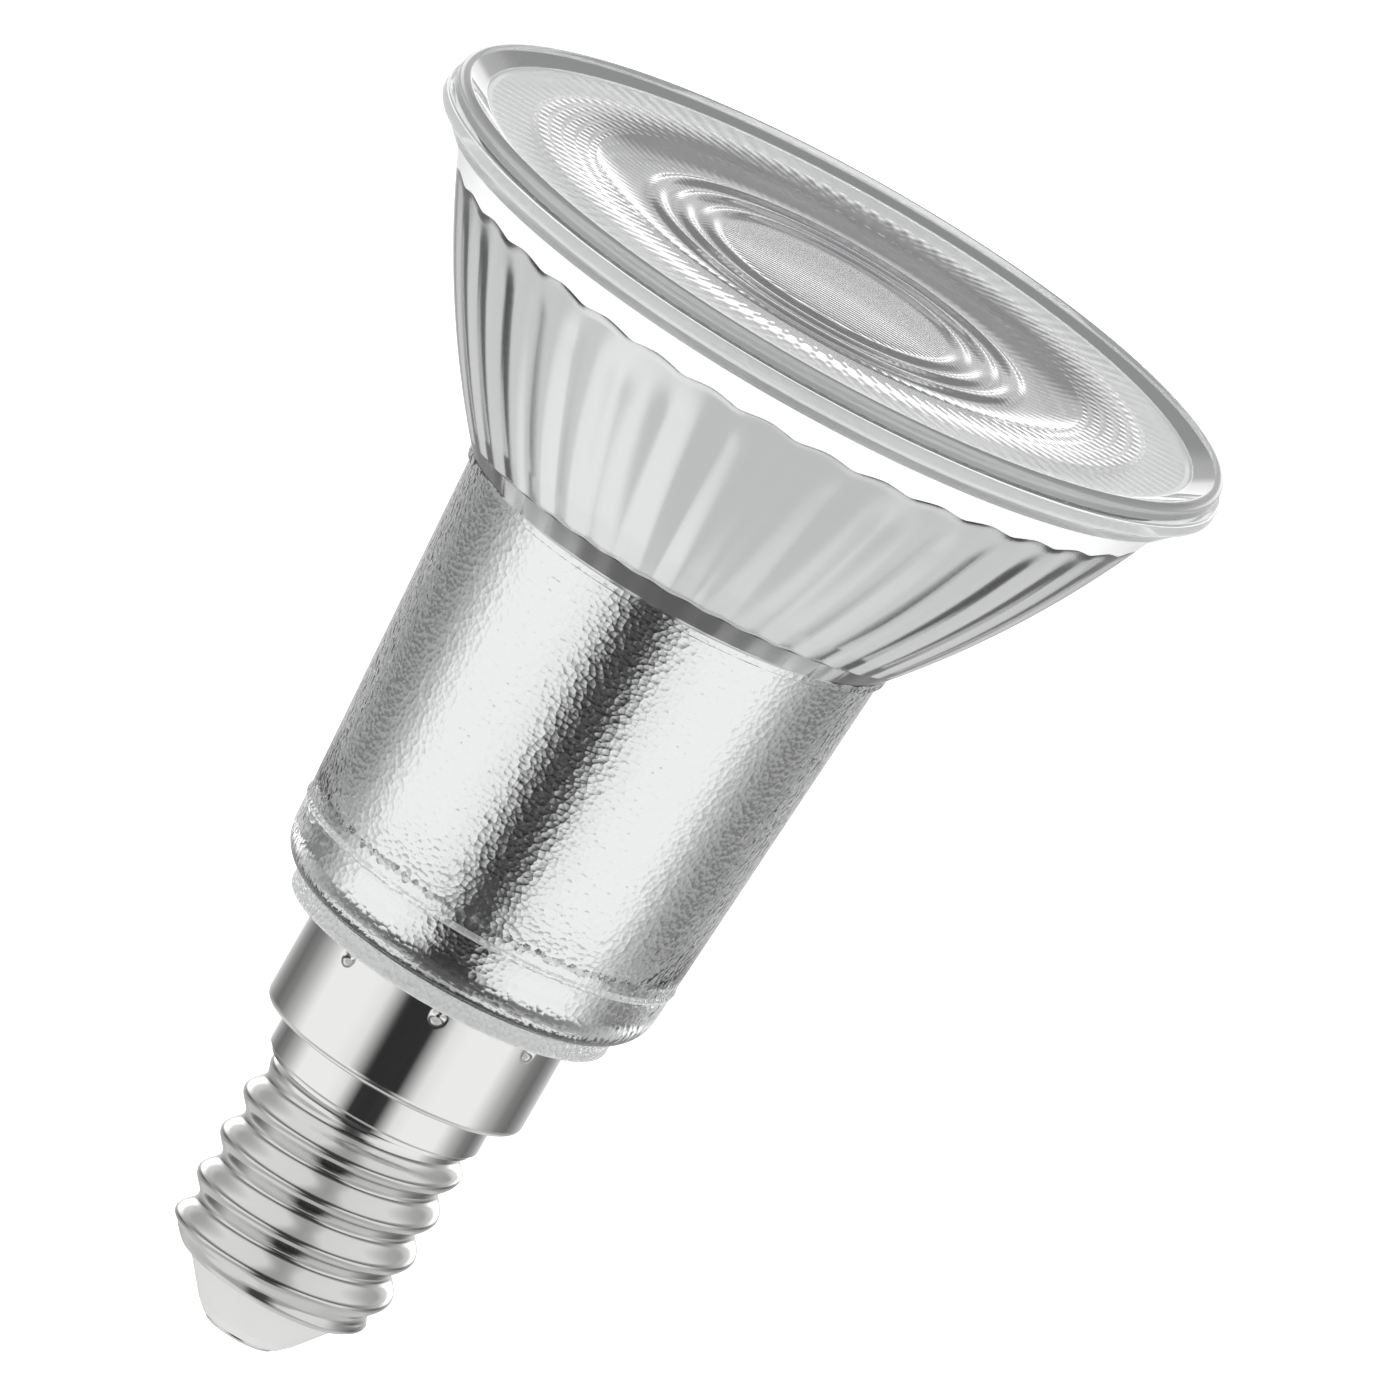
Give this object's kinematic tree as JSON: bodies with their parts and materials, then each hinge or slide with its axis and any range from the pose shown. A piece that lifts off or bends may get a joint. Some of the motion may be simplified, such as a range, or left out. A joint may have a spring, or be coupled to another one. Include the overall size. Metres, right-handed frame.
{
  "type": "led reflector lamp",
  "caption": "Reflector lamp with a fluted pressed-glass body, a textured front lens and a small screw cap, lit by LED chips under the lens.",
  "frame": {"origin": "tip of the cap's centre contact, on the lamp's axis", "axes": "+Z along the lamp's axis from the cap to the lens, -Y towards the viewer of the picture"},
  "size_m": [0.0516, 0.0516, 0.0735],
  "materials": {
    "contact": "nickel-plated brass",
    "insulator": "pale moulded insulator",
    "shell": "drawn nickel plate",
    "glass": "pressed glass, silvered inside the bowl and neck",
    "seal": "clear adhesive bead",
    "lens": "pressed glass with fine pillow texture",
    "spreader": "plain drawn sheet",
    "pad": "soft silicone",
    "led_board": "white solder mask",
    "chips": "phosphor in white trays",
    "screws": "plain steel",
    "wire": "tinned copper",
    "housing": "white moulding",
    "driver_board": "green laminate",
    "capacitor": "sleeved can",
    "ferrite": "bare ferrite",
    "winding": "enamelled copper",
    "package": "moulded package",
    "resistor": "coated ceramic"
  },
  "bodies": {
    "root": {"centre_contact": "contact", "base_insulator": "insulator", "screw_shell": "shell", "glass_reflector": "glass", "lens_seal": "seal", "lens_cover": "lens", "heat_spreader": "spreader", "thermal_pad": "pad", "led_board": "led_board", "led_chips": "chips", "board_screws": "screws", "led_leads": "wire", "driver_housing": "housing", "driver_board": "driver_board", "input_capacitor": "capacitor", "output_capacitor": "capacitor", "inductor_core": "ferrite", "inductor_winding": "winding", "bridge_rectifier": "package", "driver_ic": "package", "fusible_resistor": "resistor", "shell_wire": "wire"}
  },
  "joints": []
}
